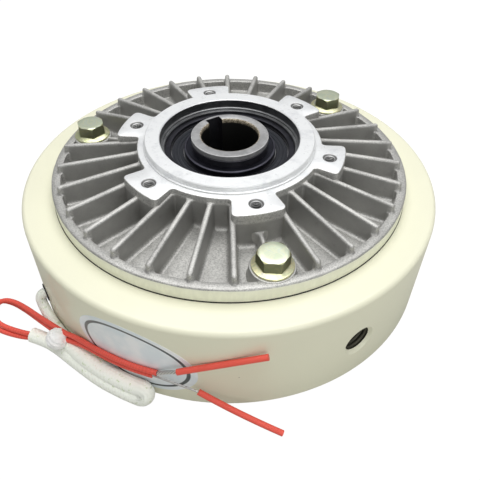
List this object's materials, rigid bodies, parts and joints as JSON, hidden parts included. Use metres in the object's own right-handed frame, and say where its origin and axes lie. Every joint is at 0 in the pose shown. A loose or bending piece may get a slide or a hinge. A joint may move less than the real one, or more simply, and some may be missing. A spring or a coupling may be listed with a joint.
{
  "type": "magnetic powder brake",
  "caption": "Round magnetic powder brake: painted ring-shaped body, finned cast cover with a machined star-shaped mounting face and pilot, hollow keyed shaft, folded red leads.",
  "frame": {"origin": "centre of the rear face that the body stands on", "axes": "+Z along the shaft axis, out of the finned front cover; -Y towards the front cover bolt"},
  "size_m": [0.244, 0.2378, 0.0768],
  "materials": {
    "cream_paint": "semi-gloss cream enamel on turned steel",
    "cast_aluminium": "die-cast grain with machined faces",
    "shaft_steel": "ground steel",
    "bearing_steel": "polished bearing steel",
    "zinc_steel": "yellow zinc plate",
    "spring_steel": "black oxide",
    "pole_steel": "bare mild steel",
    "seal_rubber": "black nitrile rubber",
    "cage_plastic": "moulded polyamide",
    "felt": "pressed wool felt",
    "copper_winding": "enamelled copper wire",
    "bobbin_plastic": "glass-filled moulding",
    "magnetic_powder": "fine dry iron powder",
    "red_silicone": "soft red silicone insulation",
    "braided_sleeve": "varnished woven sleeve",
    "tinned_strands": "tinned copper strands",
    "white_tie": "knotted white cord"
  },
  "bodies": {
    "stator": {"stator_yoke": "cream_paint", "rear_pole_ring": "pole_steel", "pole_spacer_ring": "cast_aluminium", "coil_bobbin": "bobbin_plastic", "coil_winding": "copper_winding", "front_cover": "cast_aluminium", "rear_cover": "cast_aluminium", "cover_bolts": "zinc_steel", "rear_cover_screws": "zinc_steel", "front_bearing_outer_ring": "bearing_steel", "rear_bearing_outer_ring": "bearing_steel", "front_bearing_seals": "seal_rubber", "rear_bearing_seals": "seal_rubber", "front_retaining_ring": "spring_steel", "rear_retaining_ring": "spring_steel", "front_powder_seal": "felt", "rear_powder_seal": "felt", "magnetic_powder": "magnetic_powder", "lead_grommet": "seal_rubber", "lead_sleeve": "braided_sleeve", "upper_lead": "red_silicone", "lower_lead": "red_silicone", "upper_strand": "tinned_strands", "lower_strand": "tinned_strands", "upper_stripped_end": "red_silicone", "lower_stripped_end": "red_silicone", "lead_tie": "white_tie"},
    "rotor": {"hollow_shaft": "shaft_steel", "rotor_drum": "pole_steel", "rotor_screws": "zinc_steel", "front_bearing_inner_ring": "bearing_steel", "rear_bearing_inner_ring": "bearing_steel", "shaft_collar": "spring_steel", "shaft_retaining_ring": "spring_steel"},
    "front_ball_train": {"front_bearing_balls": "bearing_steel", "front_bearing_cage": "cage_plastic"},
    "rear_ball_train": {"rear_bearing_balls": "bearing_steel", "rear_bearing_cage": "cage_plastic"}
  },
  "joints": [
    {"name": "shaft_spin", "type": "hinge", "parent": "stator", "child": "rotor", "pos_m": [0, 0, 0.034], "axis": [0, 0, 1], "continuous": true},
    {"name": "front_cage_spin", "type": "hinge", "parent": "stator", "child": "front_ball_train", "pos_m": [0, 0, 0.0595], "axis": [0, 0, 1], "continuous": true},
    {"name": "rear_cage_spin", "type": "hinge", "parent": "stator", "child": "rear_ball_train", "pos_m": [0, 0, 0.0135], "axis": [0, 0, 1], "continuous": true}
  ],
  "couplings": [
    {"joint": "front_cage_spin", "follows": "shaft_spin", "ratio": 0.42648},
    {"joint": "rear_cage_spin", "follows": "shaft_spin", "ratio": 0.42648}
  ]
}
